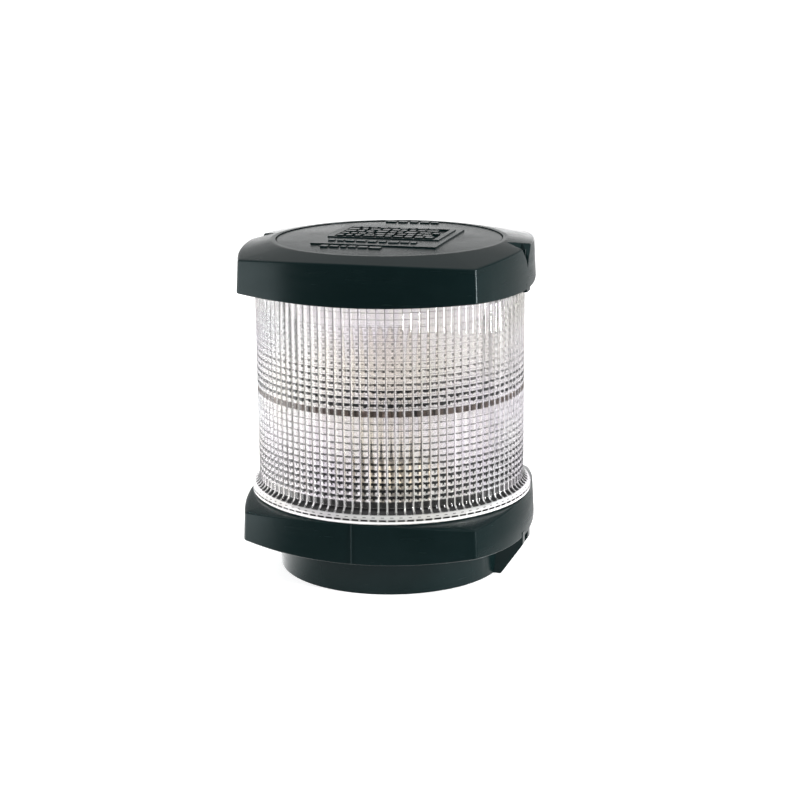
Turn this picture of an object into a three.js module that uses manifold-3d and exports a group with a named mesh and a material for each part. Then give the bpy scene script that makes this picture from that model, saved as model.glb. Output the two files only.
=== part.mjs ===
// All-round navigation light for a boat, in millimetres.
// +Z is up, and the origin is the middle of the round foot, on the surface that the light stands on.
// The sides of the cap and the base face +X, -X, +Y and -Y. The side cable entry faces +X.

import * as THREE from "three";
import { mergeVertices } from "three/addons/utils/BufferGeometryUtils.js";
import Module from "manifold-3d";

const wasm = await Module();
wasm.setup();

// Driving dimensions
const CORNER_R = 51.5; // outline of cap and base, from the axis to a corner
const SIDE_R = 43.8; // the same outline, from the axis to the middle of a bowed side
const WALL_DRAFT = 0.6; // how much further out the foot of a side wall is
const EDGE_SLOPE = 0.18; // fall of the sloping tops per millimetre outwards

const LENS_R = 42; // outside of the fluted lens
const LENS_BORE_R = 38.6;
const LENS_RIM_R = 44.26; // rim at the foot of the lens
const LENS_SEAT_Z = 25; // underside of that rim
const LENS_TOP_Z = 95.5;
const LENS_SPIGOT = { radius: 40.1, z: 22.1 }; // the part of the lens that stands in the base

const CAP_TOP_Z = 104.4;
const CAP_SIDE_TOP_Z = 103.1; // top edge at the middle of a side
const CAP_RIM_Z = 90.2; // bottom edge at the middle of a side
const CAP_RIM_RISE = 0.175; // rise of the bottom edge per millimetre outwards
const TOP_PLATE_R = 34.9;

const BASE_TOP_Z = 24.7;
const FLANGE_Z = 12.2; // underside of the base flange at the middle of a side
const FLANGE_RISE = 0.3;
const FOOT_R = 35.64; // mounting skirt at z = 0
const SKIRT_TOP_R = 36.8;
const FLOOR = { bottom: 2.4, top: 5 };
const LEDGE_Z = 19.8; // seat of the lens seal in the base

const LIGHT_CENTRE_Z = 58.3; // middle of the filament and of the lens belt
const PIN_Z = 26.5; // upper bayonet pin, 31.8 below the light centre
const PIN_STEP = 3; // the other pin is this much lower
const PUSH_TRAVEL = 2.2; // how far the bulb is pushed down before it turns
const TWIST_DEG = 20; // how far the bulb turns to line up with the slots

const FIT = 0.3; // gap between pieces that touch
const ROUND = 48; // facets of the large round pieces
const SMALL_ROUND = 16;
const SCREW_ROUND = 12;

// Materials
const surface = (color, roughness, metalness = 0, opacity = 1) =>
  new THREE.MeshStandardMaterial({ color, roughness, metalness, opacity, transparent: opacity < 1 });
const MATERIAL = {
  plastic: () => surface(0x23292a, 0.42),
  darkPlastic: () => surface(0x191c1d, 0.6),
  lens: () => surface(0xeef1f6, 0.05, 0, 0.35),
  glass: () => surface(0xf4f6f7, 0.03, 0, 0.3),
  rubber: () => surface(0x161616, 0.85),
  gasket: () => surface(0x2c2c2c, 0.9),
  brass: () => surface(0xc9a04a, 0.32, 1),
  nickel: () => surface(0xb9b6ae, 0.28, 1),
  aluminium: () => surface(0xc8cacc, 0.35, 1),
  steel: () => surface(0xa9acb0, 0.3, 1),
  phenolic: () => surface(0x3a2416, 0.55),
  ceramic: () => surface(0xe8e4da, 0.5),
  solder: () => surface(0x9c9fa3, 0.4, 1),
  filament: () => surface(0x6b6b70, 0.45, 1),
  redWire: () => surface(0xa02a22, 0.55),
  blackWire: () => surface(0x1d1d1f, 0.55),
};

// Solids

function solid(geometry) {
  const bare = new THREE.BufferGeometry();
  bare.setAttribute("position", geometry.getAttribute("position"));
  bare.setIndex(geometry.index);
  const merged = mergeVertices(bare, 1e-4);
  const corners = merged.index.array;
  const faces = [];
  for (let i = 0; i < corners.length; i += 3) {
    const [a, b, c] = [corners[i], corners[i + 1], corners[i + 2]];
    if (a !== b && b !== c && c !== a) faces.push([a, b, c]);
  }
  const points = merged.getAttribute("position");
  const corner = (i) => new THREE.Vector3().fromBufferAttribute(points, i);
  const volume = faces.reduce((sum, [a, b, c]) => sum + corner(a).dot(corner(b).cross(corner(c))), 0);
  const outwards = volume < 0 ? faces.map(([a, b, c]) => [a, c, b]) : faces;
  const mesh = new wasm.Mesh({
    numProp: 3,
    vertProperties: Float32Array.from(points.array),
    triVerts: Uint32Array.from(outwards.flat()),
  });
  return new wasm.Manifold(mesh);
}

const join = (first, ...others) => others.reduce((whole, piece) => whole.add(piece), first);
const cut = (first, ...others) => others.reduce((whole, piece) => whole.subtract(piece), first);
const moved = (body, x, y, z = 0) => body.translate([x, y, z]);

// A profile of [radius, height] pairs turned about Z. It runs from the axis to the axis, or round a closed loop.
function turned(profile, facets = ROUND) {
  const onAxis = profile[0][0] === 0;
  const loop = onAxis ? profile : [...profile, profile[0]];
  const points = loop.map(([radius, height]) => new THREE.Vector2(radius, height));
  return solid(new THREE.LatheGeometry(points, facets).rotateX(Math.PI / 2));
}

const ring = (inner, outer, low, high, facets = ROUND) =>
  turned([[inner, low], [outer, low], [outer, high], [inner, high]], facets);

const rod = (radius, low, high, facets = SMALL_ROUND) =>
  turned([[0, low], [radius, low], [radius, high], [0, high]], facets);

const block = (x0, x1, y0, y1, z0, z1) => {
  const box = new THREE.BoxGeometry(x1 - x0, y1 - y0, z1 - z0);
  return solid(box.translate((x0 + x1) / 2, (y0 + y1) / 2, (z0 + z1) / 2));
};

// An outline of [x, z] pairs, from y0 to y1.
function slab(outline, y0, y1) {
  const shape = new THREE.Shape(outline.map(([x, z]) => new THREE.Vector2(x, z)));
  const extruded = new THREE.ExtrudeGeometry(shape, { depth: y1 - y0, bevelEnabled: false });
  return solid(indexed(extruded.rotateX(Math.PI / 2).translate(0, y1, 0)));
}

function indexed(geometry) {
  if (!geometry.index) {
    geometry.setIndex([...Array(geometry.getAttribute("position").count).keys()]);
  }
  return geometry;
}

// A sector of a ring, from one angle to another in degrees.
function sector(inner, outer, from, to, low, high) {
  const shape = new THREE.Shape();
  const [start, end] = [THREE.MathUtils.degToRad(from), THREE.MathUtils.degToRad(to)];
  shape.absarc(0, 0, outer, start, end, false);
  shape.absarc(0, 0, inner, end, start, true);
  const options = { depth: high - low, bevelEnabled: false, curveSegments: 4 };
  return solid(indexed(new THREE.ExtrudeGeometry(shape, options).translate(0, 0, low)));
}

// A round wire along a curve.
function wire(points, radius, sides = 8, steps = 4 * points.length) {
  const path = new THREE.CatmullRomCurve3(points.map((point) => new THREE.Vector3(...point)));
  const shape = new THREE.Shape();
  for (let i = 0; i < sides; i += 1) {
    const angle = (2 * Math.PI * i) / sides;
    const [x, y] = [radius * Math.cos(angle), radius * Math.sin(angle)];
    if (i === 0) shape.moveTo(x, y);
    else shape.lineTo(x, y);
  }
  return solid(indexed(new THREE.ExtrudeGeometry(shape, { steps, extrudePath: path, bevelEnabled: false })));
}

// Four arcs between sharp corners, as radius against angle.
function bowedSquare(corner, side) {
  const half = corner * Math.SQRT1_2;
  const bow = side - half;
  const arc = (half ** 2 + bow ** 2) / (2 * bow);
  const centre = side - arc;
  return (angle) => {
    const turn = angle - (Math.PI / 2) * Math.round(angle / (Math.PI / 2));
    return centre * Math.cos(turn) + Math.sqrt(arc ** 2 - (centre * Math.sin(turn)) ** 2);
  };
}

const circle = (radius) => () => radius;
const level = (height) => () => height;

// A stack of outlines from the bottom up, each [radius against angle, height against radius].
function loft(levels) {
  const position = [];
  const index = [];
  for (const [radiusAt, heightAt] of levels) {
    for (let i = 0; i < ROUND; i += 1) {
      const angle = (2 * Math.PI * i) / ROUND;
      const radius = radiusAt(angle);
      position.push(radius * Math.cos(angle), radius * Math.sin(angle), heightAt(radius));
    }
  }
  const bottom = levels.length * ROUND;
  const last = bottom - ROUND;
  position.push(0, 0, levels[0][1](0), 0, 0, levels.at(-1)[1](0));
  for (let i = 0; i < ROUND; i += 1) {
    const next = (i + 1) % ROUND;
    index.push(bottom, next, i, bottom + 1, last + i, last + next);
    for (let a = 0; a < last; a += ROUND) {
      const above = a + ROUND;
      index.push(a + i, a + next, above + next, a + i, above + next, above + i);
    }
  }
  const geometry = new THREE.BufferGeometry();
  geometry.setAttribute("position", new THREE.Float32BufferAttribute(position, 3));
  geometry.setIndex(index);
  return solid(geometry);
}

const group = new THREE.Group();

function add(name, body, material) {
  const { vertProperties, triVerts } = body.getMesh();
  const geometry = new THREE.BufferGeometry();
  geometry.setAttribute("position", new THREE.BufferAttribute(vertProperties, 3));
  geometry.setIndex(new THREE.BufferAttribute(triVerts, 1));
  geometry.computeVertexNormals();
  const mesh = new THREE.Mesh(geometry, material);
  mesh.name = name;
  group.add(mesh);
}

// A pan-head screw pointing down: the head's underside is at z.
function screw(x, y, z, { shank, length, head, rise }) {
  const profile = [
    [0, z - length], [shank * 0.55, z - length], [shank, z - length + shank], [shank, z],
    [head, z], [head, z + rise * 0.55], [head * 0.7, z + rise], [0, z + rise],
  ];
  const slot = block(-head * 1.2, head * 1.2, -head * 0.14, head * 0.14, z + rise * 0.45, z + rise * 2);
  return moved(cut(turned(profile, SCREW_ROUND), slot), x, y);
}

// Base

const DECK = { radius: 37.5, bottom: 17.4, top: 19.2, screwX: 27 };
const DECK_SCREW = { shank: 1.3, length: 8, head: 2.7, rise: 1.7 };
const HOLDER_SCREW = { shank: 1.1, length: 3.9, head: 2.1, rise: 1.4 };
const HOLDER = { halfLength: 16, halfWidth: 8.5, bottom: 5.3, flangeTop: 7.9, screwX: 12.7 };
const INLET = { y: -21, hole: 6 }; // cable hole in the floor
const SIDE_ENTRY = { y: -1.4, halfWidth: 1.6, bottom: 6.2, top: 10.6 };
const FIN = { thickness: 2.8, gap: 4.6, footX: 37.3, outerX: 44.3, outerZ: 10 };
const FIXING_R = 26; // the two holes for the owner's fixing screws, on a diagonal
const TERMINAL = { y: 20.5, halfLength: 9.6, halfWidth: 4.6, bottom: 5.3, top: 15, pitch: 9 };

function cornerPockets() {
  const inside = bowedSquare(CORNER_R - 2.6, SIDE_R - 2.5);
  const hollow = loft([[inside, level(FLANGE_Z - 3)], [inside, level(BASE_TOP_Z - 3.6)]]);
  return cut(hollow, rod(LENS_SPIGOT.radius + 2.8, 0, BASE_TOP_Z, ROUND));
}

function fins() {
  const profile = [[33.5, 0], [FIN.footX, 0], [FIN.outerX, FIN.outerZ], [FIN.outerX, 14], [33.5, 14]];
  const reach = FIN.gap / 2;
  const near = slab(profile, SIDE_ENTRY.y - reach - FIN.thickness, SIDE_ENTRY.y - reach);
  const far = slab(profile, SIDE_ENTRY.y + reach, SIDE_ENTRY.y + reach + FIN.thickness);
  return join(near, far);
}

// The fine upright line that marks the front side.
function frontLine() {
  const profile = [
    [-(SIDE_R - 1), BASE_TOP_Z - 0.2], [-(SIDE_R + 0.28), BASE_TOP_Z - 0.2],
    [-(SIDE_R + WALL_DRAFT + 0.28), FLANGE_Z + 0.2], [-(SIDE_R - 1), FLANGE_Z + 0.2],
  ];
  return slab(profile, -0.28, 0.28).rotate([0, 0, 90]);
}

function baseHousing() {
  const flange = loft([
    [circle(SKIRT_TOP_R - 1), level(FLANGE_Z)],
    [circle(SKIRT_TOP_R + 3), level(FLANGE_Z)],
    [
      bowedSquare(CORNER_R + WALL_DRAFT, SIDE_R + WALL_DRAFT),
      (radius) => FLANGE_Z + FLANGE_RISE * (radius - SIDE_R - WALL_DRAFT),
    ],
    [bowedSquare(CORNER_R, SIDE_R), (radius) => BASE_TOP_Z - EDGE_SLOPE * (radius - SIDE_R)],
    [circle(SIDE_R - 1.4), level(BASE_TOP_Z)],
  ]);
  const skirt = turned([[0, 0], [FOOT_R, 0], [SKIRT_TOP_R, FLANGE_Z + 1], [0, FLANGE_Z + 1]]);
  const chamber = turned([
    [0, FLOOR.top], [33, FLOOR.top], [33, 14.9], [38.2, 14.9], [38.2, LEDGE_Z],
    [LENS_SPIGOT.radius + FIT, LEDGE_Z], [LENS_SPIGOT.radius + FIT, BASE_TOP_Z + 1], [0, BASE_TOP_Z + 1],
  ]);
  const recess = rod(32.6, -1, FLOOR.bottom, ROUND);
  const shell = cut(join(flange, skirt, fins(), frontLine()), chamber, recess, cornerPockets());

  const bossTop = DECK.bottom - FIT;
  const bosses = [-1, 1].map((side) => moved(rod(3.2, FLOOR.top - 1, bossTop, SCREW_ROUND), side * DECK.screwX, 0));
  const pilots = [-1, 1].flatMap((side) => [
    moved(rod(DECK_SCREW.shank + FIT, bossTop - 8, bossTop + 1, SCREW_ROUND), side * DECK.screwX, 0),
    moved(rod(HOLDER_SCREW.shank + FIT, 3.2, FLOOR.top + 1, SCREW_ROUND), side * HOLDER.screwX, 0),
  ]);
  const diagonal = FIXING_R * Math.SQRT1_2;
  const fixings = [-1, 1].map((side) => moved(rod(2.3, 0, FLOOR.top + 1), side * diagonal, side * diagonal));
  const inlet = moved(rod(INLET.hole, 0, FLOOR.top + 1), 0, INLET.y);
  const reach = SIDE_ENTRY.halfWidth;
  const entry = block(30, 40, SIDE_ENTRY.y - reach, SIDE_ENTRY.y + reach, SIDE_ENTRY.bottom, SIDE_ENTRY.top);
  return cut(join(shell, ...bosses), ...pilots, ...fixings, inlet, entry);
}

function deckPlate() {
  const plate = turned([
    [9.6, DECK.bottom], [DECK.radius, DECK.bottom], [DECK.radius, DECK.top], [11.6, DECK.top],
    [11.6, DECK.top + 1.4], [9.6, DECK.top + 1.4],
  ]);
  const holes = [-1, 1].map((side) => moved(rod(DECK_SCREW.shank + FIT, 10, 30, SCREW_ROUND), side * DECK.screwX, 0));
  return cut(plate, ...holes);
}

function grommet() {
  const profile = [
    [3.4, 1.1], [7.4, 1.1], [7.4, FLOOR.bottom - FIT], [5.7, FLOOR.bottom - FIT],
    [5.7, FLOOR.top + FIT], [7.4, FLOOR.top + FIT], [6.6, 7.4], [3.4, 7.9],
  ];
  return moved(turned(profile, SMALL_ROUND), 0, INLET.y);
}

function sideEntryPlug() {
  const { y, halfWidth, bottom, top } = SIDE_ENTRY;
  const stem = block(30.6, 36.2, y - halfWidth + FIT, y + halfWidth - FIT, bottom + FIT, top - FIT);
  const head = block(30.6, 32.2, y - 3, y + 3, bottom - 0.7, top + 1.6);
  return join(stem, head);
}

function terminalBlock() {
  const { y, halfLength, halfWidth, bottom, top, pitch } = TERMINAL;
  const body = join(
    block(-halfLength, halfLength, y - halfWidth, y + halfWidth, bottom, top - 2.5),
    block(-halfLength + 1, halfLength - 1, y - halfWidth + 1.4, y + halfWidth - 1.4, bottom, top),
  );
  const bays = [-1, 1].flatMap((side) => {
    const x = (side * pitch) / 2;
    return [
      block(x - 3, x + 3, y - halfWidth - 1, y + halfWidth + 1, 7.2, 11.6),
      moved(rod(2.2, 11, top + 1, SCREW_ROUND), x, y),
    ];
  });
  return cut(body, ...bays);
}

function terminalClamp(x) {
  const { y } = TERMINAL;
  const body = block(x - 2.6, x + 2.6, y - 3.6, y + 3.6, 7.5, 11.3);
  const bore = block(x - 1.3, x + 1.3, y - 5, y + 5, 8.2, 10.2);
  return cut(body, bore, moved(rod(1.5, 9, 12, SCREW_ROUND), x, y));
}

function buildBase() {
  add("base_housing", baseHousing(), MATERIAL.plastic());
  add("base_gasket", ring(29, 32.2, FIT, FLOOR.bottom - FIT), MATERIAL.gasket());
  add("lens_seal", ring(38.5, 40, LEDGE_Z + FIT, LENS_SPIGOT.z - FIT), MATERIAL.rubber());
  add("deck_plate", deckPlate(), MATERIAL.darkPlastic());
  add("cable_grommet", grommet(), MATERIAL.rubber());
  add("side_entry_plug", sideEntryPlug(), MATERIAL.rubber());
  add("terminal_block", terminalBlock(), MATERIAL.ceramic());
  for (const [side, name] of [[-1, "left"], [1, "right"]]) {
    const x = (side * TERMINAL.pitch) / 2;
    add(`deck_screw_${name}`, screw(side * DECK.screwX, 0, DECK.top + FIT, DECK_SCREW), MATERIAL.steel());
    add(`holder_screw_${name}`, screw(side * HOLDER.screwX, 0, HOLDER.flangeTop + FIT, HOLDER_SCREW), MATERIAL.steel());
    add(`terminal_clamp_${name}`, terminalClamp(x), MATERIAL.brass());
    const terminalScrew = { shank: 1.15, length: 3.2, head: 1.8, rise: 1.2 };
    add(`terminal_screw_${name}`, screw(x, TERMINAL.y, 13.6, terminalScrew), MATERIAL.steel());
  }
}

// Lamp holder

const SHELL = { inner: 7.9, outer: 8.7, bottom: 10, top: 33 };
const BODY_TOP_Z = 13.6;
const LOCKED_DEG = 60; // where the upper pin sits when the bulb is locked
const PIN = { radius: 1, tip: 8.75 };
const SPRING = { radius: 1.55, wire: 0.35, bottom: 10.2, top: 16.1, turns: 5 };
const CARRIER = { radius: 7.4, bottom: 16.6, top: 18.2 };
const STUD = { x: 3.9, shank: 1.2, bottom: 15.4, top: 19.2, head: 2.1 };

function holderBody() {
  const { halfLength, halfWidth, bottom, flangeTop, screwX } = HOLDER;
  const body = join(
    block(-halfLength, halfLength, -halfWidth, halfWidth, bottom, flangeTop),
    rod(SHELL.inner - FIT, bottom, BODY_TOP_Z, SMALL_ROUND),
  );
  const holes = [-1, 1].map((side) => moved(rod(HOLDER_SCREW.shank + FIT, 4, 9, SCREW_ROUND), side * screwX, 0));
  return cut(body, ...holes, rod(5.6, SPRING.bottom - SPRING.wire - FIT, BODY_TOP_Z + 1, SMALL_ROUND));
}

// The way of one bayonet pin: across at the pin's own height and its pushed-down height, then up to the mouth.
function bayonetSlot(centre, pinZ) {
  const spread = THREE.MathUtils.radToDeg((PIN.radius + FIT) / SHELL.inner);
  const low = pinZ - PUSH_TRAVEL - PIN.radius - FIT;
  const high = pinZ + PIN.radius + FIT;
  const [inner, outer] = [SHELL.inner - 1, SHELL.outer + 1];
  return join(
    sector(inner, outer, centre - spread, centre + TWIST_DEG + spread, low, high),
    sector(inner, outer, centre + TWIST_DEG - spread, centre + TWIST_DEG + spread, low, SHELL.top + 1),
  );
}

function socketShell() {
  const { inner, outer, bottom, top } = SHELL;
  const tube = turned([
    [inner, bottom], [outer, bottom], [outer, top - 0.6], [outer + 0.5, top - 0.2], [outer + 0.5, top],
    [inner, top],
  ], 24);
  return cut(tube, bayonetSlot(LOCKED_DEG, PIN_Z), bayonetSlot(LOCKED_DEG + 180, PIN_Z - PIN_STEP));
}

function springCoil() {
  const { radius, wire: wireRadius, bottom, top, turns } = SPRING;
  const perTurn = 8;
  const points = [];
  for (let i = 0; i <= turns * perTurn; i += 1) {
    const share = i / (turns * perTurn);
    const angle = 2 * Math.PI * turns * share;
    points.push([radius * Math.cos(angle), radius * Math.sin(angle), bottom + (top - bottom) * share]);
  }
  return wire(points, wireRadius, 6, turns * perTurn);
}

function contactCarrier() {
  const disc = rod(CARRIER.radius, CARRIER.bottom, CARRIER.top, 24);
  const holes = [-1, 1].map((side) => moved(rod(STUD.shank + FIT, 10, 20, SCREW_ROUND), side * STUD.x, 0));
  return cut(disc, ...holes);
}

function contactStud(x) {
  const headBottom = CARRIER.top + FIT;
  const profile = [
    [0, STUD.bottom], [STUD.shank, STUD.bottom], [STUD.shank, headBottom], [STUD.head, headBottom],
    [STUD.head, STUD.top - 0.2], [STUD.head - 0.3, STUD.top], [0, STUD.top],
  ];
  return moved(turned(profile, SCREW_ROUND), x, 0);
}

// An internal lead from the holder flange, over the floor, to its terminal clamp.
function lead(x) {
  const reach = TERMINAL.y - 4.4;
  const start = HOLDER.halfWidth + FIT + 0.3;
  const route = [[x * 0.6, start, 6.9], [x * 0.75, start + 2.2, 7.3], [x, reach - 2.4, 8.9], [x, reach + 0.6, 9.2]];
  return wire(route, 0.85, 8, 12);
}

function buildHolder() {
  add("holder_body", holderBody(), MATERIAL.phenolic());
  add("socket_shell", socketShell(), MATERIAL.nickel());
  add("contact_spring", springCoil(), MATERIAL.steel());
  add("contact_carrier", contactCarrier(), MATERIAL.phenolic());
  add("contact_stud_left", contactStud(-STUD.x), MATERIAL.brass());
  add("contact_stud_right", contactStud(STUD.x), MATERIAL.brass());
  add("lead_left", lead(-TERMINAL.pitch / 2), MATERIAL.blackWire());
  add("lead_right", lead(TERMINAL.pitch / 2), MATERIAL.redWire());
}

// Bulb

const BULB = { bottom: 19.5, baseR: 7.5, baseTop: 39.2, neckR: 6.7, globeR: 12.6, top: 71.8, wall: 0.8 };

function bulbBase() {
  const { baseR, baseTop } = BULB;
  const cup = turned([
    [baseR - 0.45, 20.7], [baseR, 20.7], [baseR, baseTop - 0.5], [baseR + 0.3, baseTop - 0.2],
    [baseR + 0.3, baseTop], [baseR - 0.45, baseTop],
  ], 24);
  const pins = [[LOCKED_DEG, PIN_Z], [LOCKED_DEG + 180, PIN_Z - PIN_STEP]].map(([degrees, z]) => {
    const length = PIN.tip - baseR + 0.3;
    const pin = new THREE.CylinderGeometry(PIN.radius, PIN.radius, length, 12).rotateZ(Math.PI / 2);
    return solid(pin.translate(PIN.tip - length / 2, 0, z)).rotate([0, 0, degrees]);
  });
  return join(cup, ...pins);
}

function bulbGlass() {
  const { neckR, globeR, top, wall } = BULB;
  const centre = top - globeR;
  const outline = (radius, from) => {
    const points = [];
    for (let degrees = -52; degrees <= 80; degrees += 22) {
      const angle = THREE.MathUtils.degToRad(degrees);
      points.push([radius * Math.cos(angle), centre + radius * Math.sin(angle)]);
    }
    return [[from, 35], [from, 42.5], [from + 0.25, 46.5], ...points, [0, centre + radius]];
  };
  const outside = outline(globeR, neckR);
  const inside = outline(globeR - wall, neckR - wall).reverse();
  const profile = [...inside, ...outside];
  return turned(profile, 24);
}

function buildBulb() {
  const { bottom, baseR } = BULB;
  add("bulb_base", bulbBase(), MATERIAL.brass());
  add("bulb_glass", bulbGlass(), MATERIAL.glass());
  const padHole = (x) => moved(rod(2.1, bottom, 23, SCREW_ROUND), x, 0);
  const insulator = rod(baseR - 0.8, bottom + 0.9, 22.4, 24);
  add("bulb_insulator", cut(insulator, padHole(-STUD.x), padHole(STUD.x)), MATERIAL.blackWire());
  for (const [x, name] of [[-STUD.x, "left"], [STUD.x, "right"]]) {
    const pad = turned([
      [0, bottom], [0.9, bottom], [1.7, bottom + 0.7], [1.7, 22], [0, 22],
    ], SCREW_ROUND);
    add(`bulb_contact_${name}`, moved(pad, x, 0), MATERIAL.solder());
  }
  const stem = turned([
    [0, 36], [4.6, 36], [4.4, 38], [2, 43], [1.7, 49], [1, 50], [0, 50],
  ], SCREW_ROUND);
  add("bulb_stem", stem, MATERIAL.glass());
  const wireTop = LIGHT_CENTRE_Z - 0.6;
  for (const [side, name] of [[-1, "left"], [1, "right"]]) {
    const route = [[side * 2.2, 0, 46.5], [side * 3, 0, 50], [side * 4.6, 0, 54], [side * 5, 0, wireTop]];
    add(`filament_wire_${name}`, wire(route, 0.28, 8, 10), MATERIAL.nickel());
  }
  const coil = new THREE.CylinderGeometry(0.45, 0.45, 11, 12).rotateZ(Math.PI / 2);
  add("filament", solid(coil.translate(0, 0, LIGHT_CENTRE_Z + 0.3)), MATERIAL.filament());
}

// Lens

function buildLens() {
  const seat = LENS_SEAT_Z;
  const lens = turned([
    [LENS_BORE_R, LENS_SPIGOT.z], [LENS_SPIGOT.radius, LENS_SPIGOT.z], [LENS_SPIGOT.radius, seat],
    [LENS_RIM_R, seat], [LENS_RIM_R, seat + 1.8], [LENS_RIM_R - 0.7, seat + 3], [LENS_R + 0.4, seat + 3.9],
    [LENS_R, seat + 5], [LENS_R, LENS_TOP_Z], [LENS_BORE_R, LENS_TOP_Z],
  ]);
  add("lens", lens, MATERIAL.lens());
}

// Cap

const CAP_WALL = 2.6;
const SEAL_SEAT_Z = 97.8;
const NOTCH = { innerX: 37.5, lowZ: 96.7, halfWidth: 6.2 };
const CATCH = { inner: 42.6, outer: 44.3, halfWidth: 3.1, low: 88.7, y: -1 };
const SHIELD = { radius: 34.4, bottom: 92.6, top: 93.4, screwX: 22 };
const SHIELD_SCREW = { shank: 1.1, length: 5, head: 2.6, rise: 1.5 };

const capSlope = (radius) => CAP_SIDE_TOP_Z - EDGE_SLOPE * (radius - SIDE_R);
const capRim = (radius) => CAP_RIM_Z + CAP_RIM_RISE * (radius - SIDE_R - WALL_DRAFT);

// A V groove whose bottom line runs from the sloping top down to the side wall.
function notchCutter() {
  const start = new THREE.Vector3(NOTCH.innerX, 0, capSlope(NOTCH.innerX));
  const end = new THREE.Vector3(SIDE_R + WALL_DRAFT / 2, 0, NOTCH.lowZ);
  const edge = new THREE.Vector3(SIDE_R, 0, CAP_SIDE_TOP_Z);
  const along = end.clone().sub(start).normalize();
  const across = new THREE.Vector3(0, 1, 0);
  const out = new THREE.Vector3().crossVectors(along, across);
  const depth = edge.sub(start).dot(out);
  const [height, overrun] = [9, 6];
  const half = (NOTCH.halfWidth * height) / depth;
  const shape = new THREE.Shape([
    new THREE.Vector2(0, 0), new THREE.Vector2(half, height), new THREE.Vector2(-half, height),
  ]);
  const length = start.distanceTo(end) + 2 * overrun;
  const extruded = new THREE.ExtrudeGeometry(shape, { depth: length, bevelEnabled: false });
  extruded.translate(0, 0, -overrun);
  extruded.applyMatrix4(new THREE.Matrix4().makeBasis(across, out, along).setPosition(start));
  return moved(solid(indexed(extruded)), 0, CATCH.y);
}

const both = (body) => [body, body.rotate([0, 0, 180])];

function topCap() {
  const outside = loft([
    [bowedSquare(CORNER_R + WALL_DRAFT, SIDE_R + WALL_DRAFT), capRim],
    [bowedSquare(CORNER_R, SIDE_R), capSlope],
    [circle(SIDE_R - (CAP_TOP_Z - CAP_SIDE_TOP_Z) / EDGE_SLOPE), level(CAP_TOP_Z)],
  ]);
  const inner = bowedSquare(CORNER_R - 1.6, LENS_R + 0.4);
  const hollow = loft([
    [inner, level(CAP_RIM_Z - 10)],
    [inner, (radius) => capSlope(radius) - CAP_WALL],
    [circle(TOP_PLATE_R + 1.7), level(CAP_TOP_Z - 4.2)],
  ]);
  const sealSeat = ring(35.9, LENS_R + 1, SEAL_SEAT_Z, 101.4);
  const spigot = ring(35.9, LENS_BORE_R - 0.5, CAP_RIM_Z + 1.2, 101);
  const bosses = [-1, 1].map((side) => moved(rod(3, SHIELD.top + FIT, 101, SCREW_ROUND), side * SHIELD.screwX, 0));
  const pilots = [-1, 1].map((side) => moved(rod(SHIELD_SCREW.shank + FIT, 90, 98.5, SCREW_ROUND), side * SHIELD.screwX, 0));
  const plateSeat = rod(TOP_PLATE_R + FIT, CAP_TOP_Z - 1.6, CAP_TOP_Z + 1, ROUND);
  const lug = block(CATCH.inner, CATCH.outer, CATCH.y - CATCH.halfWidth, CATCH.y + CATCH.halfWidth, CATCH.low, 92);
  const shell = cut(outside, hollow);
  return cut(join(shell, sealSeat, spigot, ...bosses, ...both(lug)), plateSeat, ...pilots, ...both(notchCutter()));
}

// The round plate let into the cap, with a stepped panel.
function topPlate() {
  const disc = rod(TOP_PLATE_R, CAP_TOP_Z - 1.3, CAP_TOP_Z, ROUND);
  const panel = block(-19.6, 19.6, -18.4, 17.6, CAP_TOP_Z - 0.5, CAP_TOP_Z + 0.45);
  const raised = block(-18, 17.4, -6.4, 15, CAP_TOP_Z, CAP_TOP_Z + 0.9);
  return join(disc, panel, raised);
}

function buildCap() {
  add("top_cap", topCap(), MATERIAL.plastic());
  add("cap_top_plate", topPlate(), MATERIAL.plastic());
  add("cap_seal", ring(38.9, 41.7, LENS_TOP_Z + FIT, SEAL_SEAT_Z - FIT), MATERIAL.rubber());
  const holes = [-1, 1].map((side) => moved(rod(SHIELD_SCREW.shank + FIT, 90, 95, SCREW_ROUND), side * SHIELD.screwX, 0));
  add("heat_shield", cut(rod(SHIELD.radius, SHIELD.bottom, SHIELD.top, ROUND), ...holes), MATERIAL.aluminium());
  for (const [side, name] of [[-1, "left"], [1, "right"]]) {
    const upsideDown = screw(0, 0, 0, SHIELD_SCREW).rotate([180, 0, 0]);
    add(`shield_screw_${name}`, moved(upsideDown, side * SHIELD.screwX, 0, SHIELD.bottom - FIT), MATERIAL.steel());
  }
}

buildBase();
buildHolder();
buildBulb();
buildLens();
buildCap();

export default group;
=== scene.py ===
"""The looks of the all-round navigation light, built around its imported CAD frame.

Shapes are drawn in millimetres in the frame's own axes: +Z up, origin in the middle of the round foot.
Every finished mesh is scaled to metres.
"""

import functools
import math
import random

import bmesh
import bpy
from mathutils import Matrix, Vector


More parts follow.
